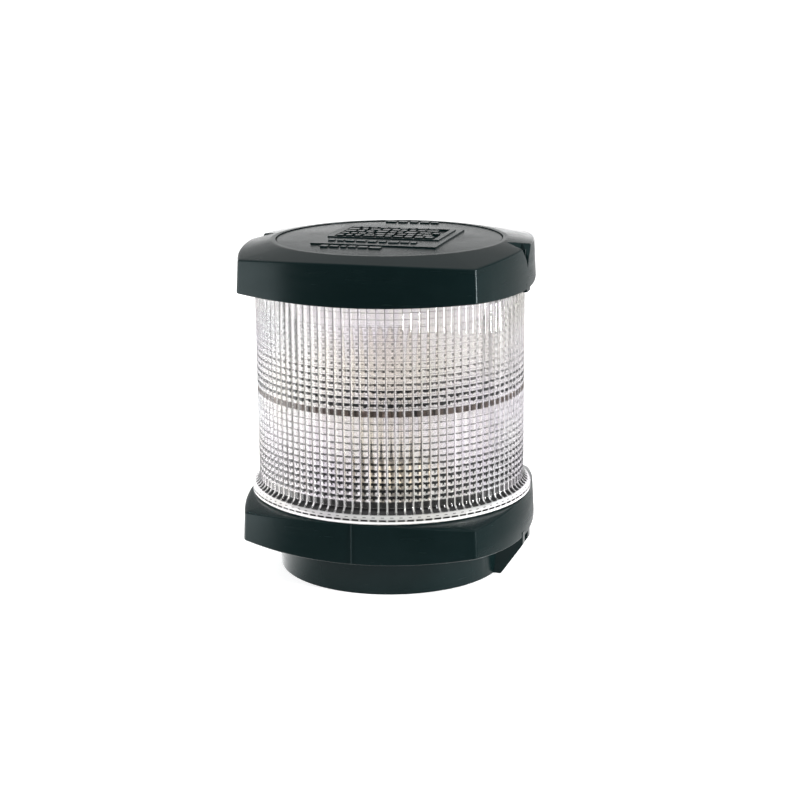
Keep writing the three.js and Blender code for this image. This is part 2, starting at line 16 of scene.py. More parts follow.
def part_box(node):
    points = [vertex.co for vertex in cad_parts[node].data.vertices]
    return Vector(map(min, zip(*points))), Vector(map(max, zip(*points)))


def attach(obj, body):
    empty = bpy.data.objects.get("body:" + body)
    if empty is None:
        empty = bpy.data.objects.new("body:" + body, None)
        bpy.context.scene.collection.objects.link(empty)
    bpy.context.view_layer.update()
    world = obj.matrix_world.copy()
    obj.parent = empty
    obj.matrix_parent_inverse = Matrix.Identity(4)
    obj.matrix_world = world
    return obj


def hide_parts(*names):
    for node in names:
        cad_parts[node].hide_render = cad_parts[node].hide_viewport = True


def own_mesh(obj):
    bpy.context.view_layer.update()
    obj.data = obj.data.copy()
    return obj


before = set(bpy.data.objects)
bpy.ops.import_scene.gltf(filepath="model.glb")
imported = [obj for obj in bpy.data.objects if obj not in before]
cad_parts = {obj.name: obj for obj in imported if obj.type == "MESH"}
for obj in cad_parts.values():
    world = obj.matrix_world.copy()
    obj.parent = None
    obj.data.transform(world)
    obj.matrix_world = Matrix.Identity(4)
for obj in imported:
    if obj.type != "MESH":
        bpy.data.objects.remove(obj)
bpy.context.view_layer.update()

MM = 0.001


class Extent:
    """The box of a CAD node, in millimetres."""

    def __init__(self, node):
        low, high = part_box(node)
        self.x1, self.z0, self.z1 = high[0] / MM, low[2] / MM, high[2] / MM
        self.radius = (high[1] / MM - low[1] / MM) / 2


LENS = Extent("lens")
CAP = Extent("top_cap")
DECK = Extent("deck_plate")
SHELL = Extent("socket_shell")
GLASS = Extent("bulb_glass")
SIDES = ((-1, "left"), (1, "right"))

# Outline of the cap and the base
SIDE_R = 43.8  # from the axis to the middle of a bowed side
CORNER_R = 51.5  # from the axis to a corner
DRAFT = 0.6  # how much further out the foot of a side wall is
EDGE_SLOPE = 0.18  # fall of the sloping tops per millimetre outwards
CORNER_ROUND = 0.013  # half angle of a rounded corner, in radians

# Lens
FLUTES = 100
POINTS_PER_FLUTE = 8
FLUTE_DEPTH = 0.38
LENS_BORE_R = 38.6
LENS_R = 42.0
SPIGOT_R = 40.1
LENS_SEAT_Z = LENS.z0 + 2.9
FLUTED_FROM, FLUTED_TO = LENS_SEAT_Z + 4.6, LENS.z1 - 2.2
BELT_Z = 58.3  # the light centre of the bulb
RING_PITCH = 2.05
RINGS_ABOVE, RINGS_BELOW = 13, 13
SLOPES_ABOVE, SLOPES_BELOW = (4.0, 0.7), (4.0, 1.9)  # degrees at the belt, and more for each ring from it
BELT_SLOPE = 10.0
INNER_ROUGHNESS = 0.06
FAR_HAZE = 0.24  # how milky the far side looks through the near one
BLACK_FROM, BLACK_SPLIT, BLACK_TO = 27.7, 29.45, 31.45  # the two rows of painted shade over the rim, near black

SIDE_STEPS = 24
CORNER_STEPS = 4
ROUND = 128


# -------- outlines and profiles


def polar(radius, angle, height=0.0):
    return Vector((radius * math.cos(angle), radius * math.sin(angle), height))


def bowed_square(side, corner):
    """Four bowed sides between slightly rounded corners, in plan. Equal radii make a circle."""
    half = corner * math.sqrt(0.5)
    bow = side - half
    arc = (half**2 + bow**2) / (2 * bow)
    centre = side - arc
    radius_at = lambda turn: centre * math.cos(turn) + math.sqrt(arc**2 - (centre * math.sin(turn)) ** 2)
    reach = math.pi / 4 - CORNER_ROUND
    points = []
    for quarter in range(4):
        facing = quarter * math.pi / 2
        for step in range(SIDE_STEPS + 1):
            turn = reach * (2 * step / SIDE_STEPS - 1)
            points.append(polar(radius_at(turn), facing + turn))
        start, control = points[-1], polar(corner, facing + math.pi / 4)
        end = polar(radius_at(reach), facing + math.pi / 2 - reach)
        for step in range(1, CORNER_STEPS):
            share = step / CORNER_STEPS
            points.append(start.lerp(control, share).lerp(control.lerp(end, share), share))
    return points


def rounded(profile, radius, closed=False, steps=3):
    """The same profile with small curves for corners. The first two numbers of a point are its place."""
    points = [Vector(point) for point in profile]
    result = []
    for index, corner in enumerate(points):
        if not closed and index in (0, len(points) - 1):
            result.append(corner)
            continue
        ends = []
        for other in (points[index - 1], points[(index + 1) % len(points)]):
            distance = (other.xy - corner.xy).length if len(corner) > 2 else (other - corner).length
            ends.append(corner.lerp(other, min(0.45, radius / max(distance, 1e-6))))
        for step in range(steps + 1):
            share = step / steps
            result.append(ends[0].lerp(corner, share).lerp(corner.lerp(ends[1], share), share))
    return result


# -------- solids, in millimetres


def skin(rings, closed=False):
    """A mesh over rings of points. A ring may be one point, or have a multiple of its neighbour's points."""
    mesh = bmesh.new()
    made = [[mesh.verts.new(point) for point in ring] for ring in rings]
    pairs = list(zip(made, made[1:])) + ([(made[-1], made[0])] if closed else [])
    for low, high in pairs:
        counts = [len(ring) for ring in (low, high) if len(ring) > 1]
        steps = min(counts)
        for step in range(steps):
            edges = []
            for ring in (low, high):
                per_step = len(ring) // steps
                reach = range(step * per_step, (step + 1) * per_step + 1) if per_step else [0]
                edges.append([ring[index % len(ring)] for index in reach])
            mesh.faces.new(edges[0] + edges[1][::-1])
    bmesh.ops.recalc_face_normals(mesh, faces=mesh.faces)
    return mesh


def in_scene(made):
    bpy.context.scene.collection.objects.link(made)
    return made


def solid(mesh, name="solid"):
    data = bpy.data.meshes.new(name)
    mesh.to_mesh(data)
    mesh.free()
    return in_scene(bpy.data.objects.new(name, data))


def turned(profile, count=ROUND, at=(0, 0)):
    """A profile of (radius, height) turned about Z, from the axis to the axis or round a closed loop."""
    rings = []
    for radius, height in profile:
        whole = [polar(radius, 2 * math.pi * step / count, height) for step in range(count)]
        rings.append(whole if radius > 1e-6 else [Vector((0, 0, height))])
    made = solid(skin(rings, closed=profile[0][0] > 1e-6))
    made.data.transform(Matrix.Translation((*at, 0)))
    return made


def rod(radius, low, high, at=(0, 0), edge=0.0, count=32):
    profile = [(0, low), (radius, low), (radius, high), (0, high)]
    return turned(rounded(profile, edge) if edge else profile, count, at)


def pair(radius, low, high, x, edge=0.0):
    """Two upright rods, one on each side of the axis."""
    return [rod(radius, low, high, (side * x, 0), edge) for side in (-1, 1)]


def ring(inner, outer, low, high, edge):
    profile = [(inner, low), (outer, low), (outer, high), (inner, high)]
    return turned(rounded(profile, edge, closed=True))


def block(x0, x1, y0, y1, z0, z1):
    mesh = bmesh.new()
    bmesh.ops.create_cube(mesh, size=1)
    middle = Vector(((x0 + x1) / 2, (y0 + y1) / 2, (z0 + z1) / 2))
    place = Matrix.Translation(middle) @ Matrix.Diagonal((x1 - x0, y1 - y0, z1 - z0, 1))
    bmesh.ops.transform(mesh, matrix=place, verts=mesh.verts)
    return solid(mesh)


def prism(outline, low, high, place=Matrix.Identity(4)):
    """An outline of (x, y) points raised from one height to another, then placed."""
    mesh = bmesh.new()
    rings = [[mesh.verts.new((x, y, height)) for x, y in outline] for height in (low, high)]
    mesh.faces.new(rings[0][::-1])
    mesh.faces.new(rings[1])
    for index in range(len(outline)):
        after = (index + 1) % len(outline)
        mesh.faces.new((rings[0][index], rings[0][after], rings[1][after], rings[1][index]))
    bmesh.ops.transform(mesh, matrix=place, verts=mesh.verts)
    bmesh.ops.recalc_face_normals(mesh, faces=mesh.faces)
    return solid(mesh)


def lofted(levels):
    """A solid through bowed squares: (side radius, height there, corner radius, rise per mm outwards)."""
    rings = []
    for side, height, corner, rise in levels:
        plan = bowed_square(side, corner)
        rings.append([Vector((point.x, point.y, height + rise * (point.length - side))) for point in plan])
    low, high = Vector((0, 0, levels[0][1])), Vector((0, 0, levels[-1][1]))
    return solid(skin([[low], *rings, [high]]))


def tube(points, radius, sides=12):
    """A round wire along a line of points, with flat ends."""
    rings = []
    normal = None
    for index, point in enumerate(points):
        ahead = points[min(index + 1, len(points) - 1)] - points[max(index - 1, 0)]
        ahead.normalize()
        if normal is None:
            normal = ahead.orthogonal().normalized()
        normal = (normal - ahead * normal.dot(ahead)).normalized()
        across = ahead.cross(normal)
        angles = [2 * math.pi * side / sides for side in range(sides)]
        rings.append([point + radius * (math.cos(a) * normal + math.sin(a) * across) for a in angles])
    return solid(skin([[points[0]], *rings, [points[-1]]]))


def helix(radius, low, high, turns, steps_per_turn=24, dead_turns=0.8):
    """Points of a coil about Z whose end turns lie flat."""
    points = []
    for step in range(round(turns * steps_per_turn) + 1):
        turn = step / steps_per_turn
        live = min(max((turn - dead_turns) / (turns - 2 * dead_turns), 0), 1)
        points.append(polar(radius, 2 * math.pi * turn, low + (high - low) * live))
    return points


# -------- cutting, joining and finishing


def apply_modifiers(piece):
    graph = bpy.context.evaluated_depsgraph_get()
    old = piece.data
    piece.data = bpy.data.meshes.new_from_object(piece.evaluated_get(graph))
    piece.modifiers.clear()
    bpy.data.meshes.remove(old)


def combine(target, operation, others):
    for other in others:
        modifier = target.modifiers.new("combine", "BOOLEAN")
        modifier.operation = operation
        modifier.solver = "MANIFOLD"
        modifier.object = other
    apply_modifiers(target)
    for other in others:
        bpy.data.objects.remove(other)
    return target


def join(target, *others):
    return combine(target, "UNION", others)


def cut(target, *others):
    return combine(target, "DIFFERENCE", others)


def placed(piece, matrix):
    piece.data.transform(matrix)
    return piece


def half_turned(piece):
    """A copy of a piece, turned half way round the light's axis."""
    copy = in_scene(piece.copy())
    copy.data = piece.data.copy()
    return placed(copy, Matrix.Rotation(math.pi, 4, "Z"))


def even_shading(piece, smooth, weighted):
    """Smooth shading below the given angle between faces, which leaves flat faces flat where weighted."""
    piece.data.polygons.foreach_set("use_smooth", [True] * len(piece.data.polygons))
    piece.data.set_sharp_from_angle(angle=math.radians(smooth))
    if weighted:
        piece.modifiers.new("even", "WEIGHTED_NORMAL").keep_sharp = True
        apply_modifiers(piece)


def add_bevel(piece, width, angle):
    """Rounds the edges that are sharper than the angle."""
    modifier = piece.modifiers.new("soften", "BEVEL")
    modifier.width = width
    modifier.segments = 2
    modifier.limit_method = "ANGLE"
    modifier.angle_limit = math.radians(angle)


def softened(piece, width, angle=35):
    add_bevel(piece, width, angle)
    apply_modifiers(piece)


def finished(piece, name, body, slot, node, smooth=34, weighted=True):
    """Scales a piece to metres, shades it, and fixes it to its body in place of its CAD node."""
    piece.name = name
    piece.data.name = name
    piece.data.transform(Matrix.Scale(MM, 4))
    even_shading(piece, smooth, weighted)
    piece.data.materials.clear()
    piece.data.materials.append(MATERIALS[slot])
    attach(piece, body)
    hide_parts(node)


def carried(node, slot, edge):
    """A CAD node that stays as it is, with welded corners, eased edges and a finer material."""
    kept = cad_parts[node]
    weld = kept.modifiers.new("weld", "WELD")
    weld.merge_threshold = 1e-6
    add_bevel(kept, edge * MM, 40)
    kept.data.materials.clear()
    kept.data.materials.append(MATERIALS[slot])


# -------- materials


def feed(links, socket, value):
    """Gives a socket a number, a colour or the output of another node."""
    if isinstance(value, tuple):
        socket.default_value = (*value, 1)
    elif isinstance(value, (int, float)):
        socket.default_value = value
    else:
        links.new(value, socket)


def map_range(nodes, links, source, start, end, low, high, smooth=False):
    node = nodes.new("ShaderNodeMapRange")
    if smooth:
        node.interpolation_type = "SMOOTHSTEP"
    for name, value in (("From Min", start), ("From Max", end), ("To Min", low), ("To Max", high)):
        feed(links, node.inputs[name], value)
    links.new(source, node.inputs["Value"])
    return node.outputs["Result"]


class Shader:
    """A node material under construction."""

    def __init__(self, name):
        self.material = bpy.data.materials.new(name)
        self.material.use_nodes = True
        self.nodes = self.material.node_tree.nodes
        self.links = self.material.node_tree.links
        self.main = self.nodes["Principled BSDF"]
        self.place = self.nodes.new("ShaderNodeTexCoord").outputs["Object"]

    def set(self, **values):
        for name, value in values.items():
            self.main.inputs[name.replace("_", " ")].default_value = value
        return self

    def link(self, source, name):
        self.links.new(source, self.main.inputs[name])

    def axes(self):
        split = self.nodes.new("ShaderNodeSeparateXYZ")
        self.links.new(self.place, split.inputs["Vector"])
        return [split.outputs[axis] for axis in "XYZ"]

    def stretched(self, x, y, z):
        node = self.nodes.new("ShaderNodeMapping")
        node.inputs["Scale"].default_value = (x, y, z)
        self.links.new(self.place, node.inputs["Vector"])
        return node.outputs["Vector"]

    def noise(self, scale, detail=3.0, roughness=0.55, vector=None):
        node = self.nodes.new("ShaderNodeTexNoise")
        node.inputs["Scale"].default_value = scale
        node.inputs["Detail"].default_value = detail
        node.inputs["Roughness"].default_value = roughness
        self.links.new(vector or self.place, node.inputs["Vector"])
        return node.outputs["Fac"]

    def span(self, source, low, high, start=0.35, end=0.65):
        """Maps the values from start to end, by default the middle of a noise, to a range."""
        return map_range(self.nodes, self.links, source, start, end, low, high)

    def blend(self, share, first, second):
        node = self.nodes.new("ShaderNodeMix")
        node.data_type = "RGBA"
        self.links.new(share, node.inputs["Factor"])
        for socket, value in (("A", first), ("B", second)):
            target = next(s for s in node.inputs if s.name == socket and s.type == "RGBA")
            feed(self.links, target, value)
        return next(s for s in node.outputs if s.type == "RGBA")

    def bump(self, height, strength, distance):
        node = self.nodes.new("ShaderNodeBump")
        node.inputs["Strength"].default_value = strength
        node.inputs["Distance"].default_value = distance
        self.links.new(height, node.inputs["Height"])
        self.links.new(node.outputs["Normal"], self.main.inputs["Normal"])
        return self

    def math(self, operation, first, second):
        node = self.nodes.new("ShaderNodeMath")
        node.operation = operation
        for socket, value in zip(node.inputs, (first, second)):
            feed(self.links, socket, value)
        return node.outputs["Value"]

    def product(self, *factors):
        return functools.reduce(lambda first, second: self.math("MULTIPLY", first, second), factors)

    def most(self, *values):
        return functools.reduce(lambda first, second: self.math("MAXIMUM", first, second), values)

    def distance(self, x, y):
        """How far two coordinates are from the axis."""
        return self.math("POWER", self.math("ADD", self.product(x, x), self.product(y, y)), 0.5)

    def band(self, source, low, high, soft):
        """One between two values, with soft ends."""
        rise = self.span(source, 0.0, 1.0, low - soft, low + soft)
        return self.product(rise, self.span(source, 1.0, 0.0, high - soft, high + soft))

    def lets_lamps_through(self):
        """Shadow rays pass, so that lamps light what stands behind the glass."""
        shade = self.nodes.new("ShaderNodeBsdfTransparent")
        path = self.nodes.new("ShaderNodeLightPath")
        mix = self.nodes.new("ShaderNodeMixShader")
        output = self.nodes["Material Output"]
        self.links.new(path.outputs["Is Shadow Ray"], mix.inputs["Fac"])
        self.links.new(self.main.outputs["BSDF"], mix.inputs[1])
        self.links.new(shade.outputs["BSDF"], mix.inputs[2])
        self.links.new(mix.outputs["Shader"], output.inputs["Surface"])
        return self


def plastic(name, dark, light, low, high, specular=0.14):
    """Satin moulded plastic: slightly cloudy colour and gloss, a fine grain and a few rubbed streaks."""
    shader = Shader(name).set(Specular_IOR_Level=specular, Specular_Tint=(0.84, 0.97, 1.0, 1.0))
    cloud = shader.noise(55, 4)
    streak = shader.noise(60, 3, 0.5, shader.stretched(1, 1, 9))
    fine = shader.noise(2600, 2)
    shader.link(shader.blend(shader.span(cloud, 0, 1), dark, light), "Base Color")
    shader.link(shader.span(streak, low, high, 0.3, 0.7), "Roughness")
    return shader.bump(fine, 0.12, 0.00006).material


def clear_glass(name):
    """Thin lamp glass, faintly warm, with faint draw marks."""
    shader = Shader(name).set(Transmission_Weight=1.0, IOR=1.49)
    flow = shader.noise(30, 3, 0.5, shader.stretched(1, 1, 0.4))
    tint = shader.blend(shader.span(flow, 0, 1), (0.992, 0.972, 0.93), (0.985, 0.955, 0.9))
    shader.link(tint, "Base Color")
    shader.link(shader.span(flow, 0.004, 0.012), "Roughness")
    return shader.lets_lamps_through().material


class LensShader(Shader):
    """Knows the painted shade in each cell of the lens, by place on its outside: dark marks that stand in for
    the dark parts seen through it.

    across runs from 0 to 1 over a flute. row counts the inner rings upwards, with the belt from 0 to 1, and
    depth counts them downwards.
    """

    def __init__(self, name):
        super().__init__(name)
        x, y, z = self.axes()
        self.outside = self.math("GREATER_THAN", self.distance(x, y), (LENS_R - 2 * FLUTE_DEPTH) * MM)
        flute = self.product(self.math("ARCTAN2", y, x), FLUTES / (2 * math.pi))
        self.across = self.math("FRACT", flute, 0.0)
        self.z = self.product(z, 1 / MM)
        self.row = self.product(self.math("SUBTRACT", self.z, BELT_Z - RING_PITCH / 2), 1 / RING_PITCH)
        self.depth = self.math("SUBTRACT", 0.0, self.row)
        self.ragged = self.noise(900, 2)
        self.patchy = self.noise(34, 2)
        self.cell = self.band(self.across, 0.1, 0.87, 0.03)

    def uprights(self):
        """A fine line of painted shade beside each groove, above the black rows."""
        line = self.band(self.across, 0.875, 0.965, 0.02)
        return self.product(line, self.span(self.z, 0.0, 0.95, BLACK_TO, BLACK_TO + 1))

    # The belt row's cells, which take painted shade.
    def belt(self):
        return self.product(self.band(self.row, 0.03, 0.97, 0.02), self.cell)

    def upper_rows(self):
        """Painted shade: marks that hang from the top of each cell and shrink upwards to dots."""
        below_top = self.math("SUBTRACT", 1.0, self.math("FRACT", self.row, 0.0))
        reach = self.span(self.row, 0.5, 0.14, 1.0, 8.0)
        reach = self.math("ADD", reach, self.span(self.ragged, -0.14, 0.16))
        hanging = self.span(self.math("SUBTRACT", below_top, reach), 1.0, 0.0, -0.05, 0.03)
        rows = self.product(hanging, self.cell, self.band(self.row, 1.0, 7.9, 0.02))
        rows = self.product(rows, self.span(self.row, 1.0, 0.75, 4.0, 8.0))
        dots = self.product(self.band(below_top, 0.02, 0.4, 0.04), self.band(self.across, 0.6, 0.87, 0.03))
        fading = self.span(self.row, 1.0, 0.6, 7.0, 13.0)
        return self.most(rows, self.product(dots, self.band(self.row, 1.0, 13.0, 0.02), fading))

    def lower_rows(self):
        """Painted shade: lines between the rings that thicken downwards, with a short stem under the lowest
        ones.
        """
        from_line = self.math("PINGPONG", self.depth, 0.5)
        half = self.span(self.depth, 0.08, 0.23, 1.0, 11.0)
        half = self.math("ADD", half, self.span(self.ragged, -0.04, 0.05))
        lines = self.span(self.math("SUBTRACT", from_line, half), 1.0, 0.0, -0.02, 0.02)
        lines = self.product(lines, self.cell, self.span(self.depth, 0.86, 1.0, 1.0, 8.0))
        short = self.span(self.math("FRACT", self.depth, 0.0), 1.0, 0.0, 0.4, 0.65)
        short = self.product(short, self.span(self.depth, 0.0, 1.0, 6.0, 8.5))
        stem = self.product(self.band(self.across, 0.36, 0.6, 0.04), short)
        return self.product(self.most(lines, stem), self.band(self.depth, 0.5, RINGS_BELOW - 0.6, 0.02))

    # Two rows of painted shade over the rim, parted by a lighter line, the upper row a little lighter.
    def black_rows(self):
        whole = self.band(self.z, BLACK_FROM, BLACK_TO, 0.06)
        split = self.band(self.z, BLACK_SPLIT - 0.1, BLACK_SPLIT + 0.1, 0.06)
        split = self.span(split, 1.0, 0.35, 0.0, 1.0)
        upper = self.span(self.z, 1.0, 0.9, BLACK_SPLIT, BLACK_SPLIT + 0.2)
        return self.product(whole, split, upper, self.cell)

    # Dashes of painted shade on the rim: a thick row in each cell and a thinner, fainter one above.
    def rim_dashes(self):
        thick = self.product(self.band(self.z, LENS_SEAT_Z + 1.0, LENS_SEAT_Z + 1.5, 0.06), self.cell)
        thin = self.band(self.z, LENS_SEAT_Z + 2.0, LENS_SEAT_Z + 2.2, 0.05)
        return self.most(thick, self.product(thin, self.band(self.across, 0.3, 0.66, 0.04), 0.7))

    def top_lines(self):
        """Two fine lines of painted shade near the top, fainter in patches, and a fainter third."""
        place = self.span(self.patchy, 0.35, 0.95, 0.44, 0.52)
        lines = []
        for below, strength in ((6.9, 1.0), (8.9, 1.0), (10.6, 0.5)):
            height = LENS.z1 - below
            lines.append(self.product(self.band(self.z, height - 0.09, height + 0.09, 0.05), place, strength))
        return self.most(*lines)

    def milky_painted_light(self):
        """Where the surface is milky, so that it is lit white as painted light: the rim, and the grooves
        between the black rows.
        """
        edge = self.span(self.z, 0.85, 0.4, LENS_SEAT_Z + 0.7, LENS_SEAT_Z + 0.9)
        rim = self.product(edge, self.span(self.z, 1.0, 0.0, LENS_SEAT_Z + 2.4, LENS_SEAT_Z + 3.2))
        beside_rows = self.band(self.z, BLACK_FROM + 0.4, BLACK_TO + 0.4, 0.3)
        return self.most(rim, self.product(self.span(self.cell, 0.3, 0.0, 0.0, 1.0), beside_rows), 0.05)


def lens_plastic(name):
    """Clear moulded plastic, tinted in patches. Only the near side of the lens shows its marks, which are
    painted shade.
    """
    shader = LensShader(name).set(IOR=1.49)
    depth = shader.nodes.new("ShaderNodeLightPath").outputs["Transmission Depth"]
    shown = shader.product(shader.math("LESS_THAN", depth, 0.5), shader.outside)
    rows = shader.upper_rows(), shader.lower_rows(), shader.black_rows()
    fine = shader.most(shader.uprights(), *rows, shader.rim_dashes(), shader.top_lines())
    tint = shader.blend(shader.span(shader.noise(30, 2, 0.5), 0, 1), (0.9, 0.872, 0.92), (0.925, 0.91, 0.865))
    tint = shader.blend(shader.span(shader.noise(24, 1), 0, 1, 0.55, 0.75), tint, (0.87, 0.91, 0.92))
    # Near black painted shade where the marks are, on the near side only.
    marked = shader.blend(shader.product(fine, shown), tint, (0.0004, 0.0005, 0.0006))
    # Painted shade on the belt: near black to dark brown in fine streaks, the brown standing in for the brass
    # parts seen through the lens.
    streaks = shader.noise(1100, 2, 0.5, shader.stretched(1, 1, 0.05))
    brown = shader.blend(shader.span(streaks, 0, 1), (0.0003, 0.0003, 0.0003), (0.045, 0.028, 0.021))
    shader.link(shader.blend(shader.product(shader.belt(), shown), marked, brown), "Base Color")
    haze = shader.product(shader.math("GREATER_THAN", depth, 0.5), shader.outside, FAR_HAZE)
    milky = shader.most(shader.product(shader.milky_painted_light(), shown), haze)
    shader.link(shader.math("SUBTRACT", 1.0, milky), "Transmission Weight")
    inner_gloss = shader.product(shader.math("SUBTRACT", 1.0, shader.outside), INNER_ROUGHNESS)
    shader.link(shader.math("ADD", shader.span(shader.patchy, 0.012, 0.03), inner_gloss), "Roughness")
    return shader.lets_lamps_through().material


def metal(name, dark, light, low, high, brushing=(1, 1, 1)):
    """Metal with cloudy tarnish and brushed gloss."""
    shader = Shader(name).set(Metallic=1.0)
    tarnish = shader.noise(140, 5, 0.6)
    brushed = shader.noise(900, 3, 0.6, shader.stretched(*brushing))
    shader.link(shader.blend(shader.span(tarnish, 0, 1), dark, light), "Base Color")
    shader.link(shader.span(brushed, low, high), "Roughness")
    return shader.bump(brushed, 0.25, 0.00003).material


def rubber(name, dark, light, low, high):
    shader = Shader(name)
    bloom = shader.noise(160, 5, 0.65)
    grain = shader.noise(3200, 2)
    shader.link(shader.blend(shader.span(bloom, 0, 1), dark, light), "Base Color")
    shader.link(shader.span(bloom, low, high), "Roughness")
    return shader.bump(grain, 0.3, 0.00005).material


def phenolic_resin(name):
    """Brown filled resin with darker flow swirls."""
    shader = Shader(name)
    wave = shader.nodes.new("ShaderNodeTexWave")
    wave.inputs["Scale"].default_value = 90
    wave.inputs["Distortion"].default_value = 9
    wave.inputs["Detail"].default_value = 3
    shader.links.new(shader.place, wave.inputs["Vector"])
    shader.link(shader.blend(wave.outputs["Fac"], (0.055, 0.022, 0.012), (0.1, 0.045, 0.024)), "Base Color")
    shader.link(shader.span(shader.noise(300), 0.35, 0.55), "Roughness")
    return shader.bump(shader.noise(1800, 2), 0.2, 0.00004).material


MATERIALS = {
    "housing_plastic": plastic("housing", (0.0022, 0.0075, 0.0077), (0.0036, 0.0098, 0.0103), 0.2, 0.28),
    "inner_plastic": plastic("inner_housing", (0.002, 0.0026, 0.0028), (0.004, 0.005, 0.0052), 0.45, 0.6),
    "clear_lens": lens_plastic("lens_plastic"),
    "bulb_glass": clear_glass("lamp_glass"),
    "rubber": rubber("black_rubber", (0.012, 0.012, 0.012), (0.024, 0.024, 0.023), 0.7, 0.88),
    "brass": metal("brass", (0.29, 0.25, 0.19), (0.44, 0.39, 0.31), 0.28, 0.44, (1, 1, 0.15)),
    "nickel": metal("nickel", (0.2, 0.185, 0.17), (0.34, 0.32, 0.29), 0.24, 0.4, (1, 1, 0.2)),
    "steel": metal("steel", (0.42, 0.43, 0.45), (0.62, 0.63, 0.65), 0.2, 0.36),
    "aluminium": metal("aluminium", (0.7, 0.71, 0.72), (0.84, 0.85, 0.86), 0.16, 0.36, (1, 0.04, 1)),
    "phenolic": phenolic_resin("phenolic_resin"),
    "terminal_plastic": plastic("terminal", (0.66, 0.64, 0.58), (0.78, 0.76, 0.7), 0.35, 0.5, specular=0.5),
    "red_insulation": rubber("red_insulation", (0.3, 0.02, 0.014), (0.42, 0.035, 0.024), 0.4, 0.55),
    "black_insulation": rubber("black_insulation", (0.012, 0.012, 0.014), (0.024, 0.024, 0.027), 0.4, 0.55),
}


# -------- lens


def fluted_ring(radius, height, depth):
    count = FLUTES * POINTS_PER_FLUTE
    points = []
    for step in range(count):
        across = 2 * (step % POINTS_PER_FLUTE) / POINTS_PER_FLUTE - 1
        points.append(polar(radius - depth * across**2, 2 * math.pi * step / count, height))
    return points


def prism_rings():
    """The bore of the lens from the bottom up, as (radius, height). The faces lean away from the belt."""
    profile = []
    land = 0.05
    for number in range(-RINGS_BELOW, RINGS_ABOVE + 1):
        low = BELT_Z + (number - 0.5) * RING_PITCH
        first, more = SLOPES_BELOW if number < 0 else SLOPES_ABOVE
        slope = math.radians(first + more * abs(number) if number else BELT_SLOPE)
        thin_end = LENS_BORE_R + (RING_PITCH - 2 * land) * math.tan(slope)
        ends = (thin_end, LENS_BORE_R) if number < 0 else (LENS_BORE_R, thin_end)
        profile += [(ends[0], low + land), (ends[1], low + RING_PITCH - land)]
    return profile


# Above the rim: height over the seat, distance in from the rim and depth of the flutes
FLARE = (
    (1.6, 0, 0), (2.1, 0.25, 0.05), (2.6, 0.8, 0.12),
    (3.1, 1.5, 0.25), (3.7, 2.0, 0.36), (4.2, 2.2, FLUTE_DEPTH),
)


def build_lens():
    outside = [
        (SPIGOT_R, LENS.z0, 0), (SPIGOT_R, LENS_SEAT_Z - 0.3, 0), (SPIGOT_R + 0.3, LENS_SEAT_Z, 0),
        (LENS.x1 - 0.3, LENS_SEAT_Z, 0), (LENS.x1, LENS_SEAT_Z + 0.3, 0),
    ]
    outside += [(LENS.x1 - inwards, LENS_SEAT_Z + rise, depth) for rise, inwards, depth in FLARE]
    outside.append((LENS_R, FLUTED_FROM, FLUTE_DEPTH))
    levels = 11
    for step in range(1, levels + 1):
        outside.append((LENS_R, FLUTED_FROM + (FLUTED_TO - FLUTED_FROM) * step / levels, FLUTE_DEPTH))
    outside += [(LENS_R, FLUTED_TO + 0.8, 0), (LENS_R, LENS.z1 - 0.25, 0), (LENS_R - 0.25, LENS.z1, 0)]
    inside = [(LENS_BORE_R, LENS.z0), *prism_rings(), (LENS_BORE_R, LENS.z1)]
    bore_points = 2 * FLUTES
    rings = [[polar(r, 2 * math.pi * i / bore_points, z) for i in range(bore_points)] for r, z in inside]
    rings += [fluted_ring(radius, height, depth) for radius, height, depth in reversed(outside)]
    lens = solid(skin(rings, closed=True))
    finished(lens, "fluted_lens", "lens", "clear_lens", "lens", smooth=24, weighted=False)


# -------- cap

GROOVE_R = 35.2
CAP_WALL = 2.6
RIM_Z, RIM_RISE = 90.2, 0.175
EDGE_DROP = 1.3  # from the flat of the cap to the upper edge of its sides
SPIGOT_BORE_R = 35.9
ROOF_Z = 101  # inside the roof, where what hangs from it ends
SEAL_SEAT_Z = 97.8
NOTCH_Y, NOTCH_FLOOR_X = -1.0, 41.2
SHIELD = Extent("heat_shield")
SHIELD_SCREW_X = 22.0


def notch_cutter(inner_x, low_z, half_width):
    """A V groove whose bottom line runs from the sloping top down to the wall that faces +X."""
    slope_z = lambda x: CAP.z1 - EDGE_DROP - EDGE_SLOPE * (x - SIDE_R)
    start = Vector((inner_x, 0, slope_z(inner_x)))
    end = Vector((SIDE_R + DRAFT / 2, 0, low_z))
    along = (end - start).normalized()
    across = Vector((0, 1, 0))
    out = along.cross(across)
    depth = (Vector((SIDE_R, 0, slope_z(SIDE_R))) - start).dot(out)
    height, overrun = 9, 6
    half = half_width * height / depth
    axes = Matrix((across, out, along)).transposed().to_4x4()
    place = Matrix.Translation(start + Vector((0, NOTCH_Y, 0))) @ axes
    return prism([(0, 0), (half, height), (-half, height)], -overrun, (end - start).length + overrun, place)


